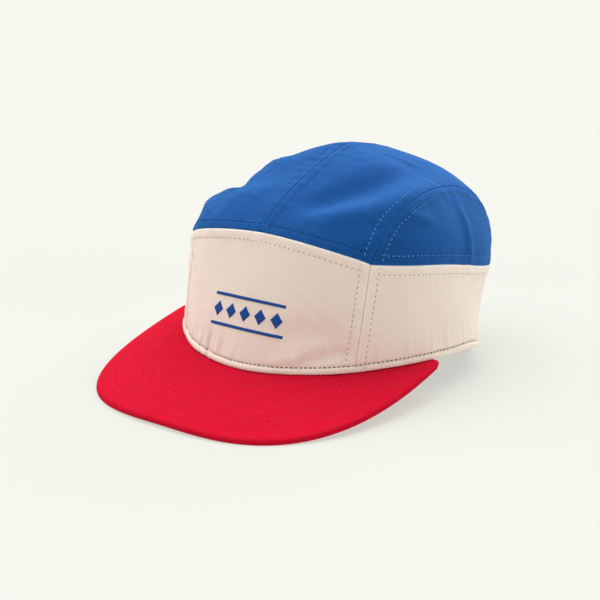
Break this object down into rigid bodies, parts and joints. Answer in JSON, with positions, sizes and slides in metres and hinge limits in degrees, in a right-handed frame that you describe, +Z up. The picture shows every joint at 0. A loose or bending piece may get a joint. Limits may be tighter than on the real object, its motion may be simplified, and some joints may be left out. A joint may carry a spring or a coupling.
{
  "type": "seven-panel cap",
  "caption": "Cloth cap with a panelled crown over a low band of panels, a wide flat visor, an inner sweatband and a rear strap with a slide buckle.",
  "frame": {"origin": "on the surface that the cap rests on, under the middle of its bounding box", "axes": "+Z up at rest, -Y to the front edge of the visor, +X to the wearer's left"},
  "size_m": [0.1902, 0.2688, 0.1285],
  "materials": {
    "beige_twill": "matte cotton twill",
    "blue_twill": "matte cotton twill with a soft sheen",
    "red_twill": "matte cotton twill over a board",
    "band_cotton": "matte plain cotton",
    "strap_twill": "matte cotton twill",
    "buckle_metal": "satin"
  },
  "bodies": {
    "root": {"front_panel": "beige_twill", "side_lower_left": "beige_twill", "side_lower_right": "beige_twill", "side_upper_left": "blue_twill", "side_upper_right": "blue_twill", "top_panel_left": "blue_twill", "top_panel_right": "blue_twill", "visor": "red_twill", "sweatband": "band_cotton", "rear_strap": "strap_twill", "strap_buckle": "buckle_metal"}
  },
  "joints": []
}
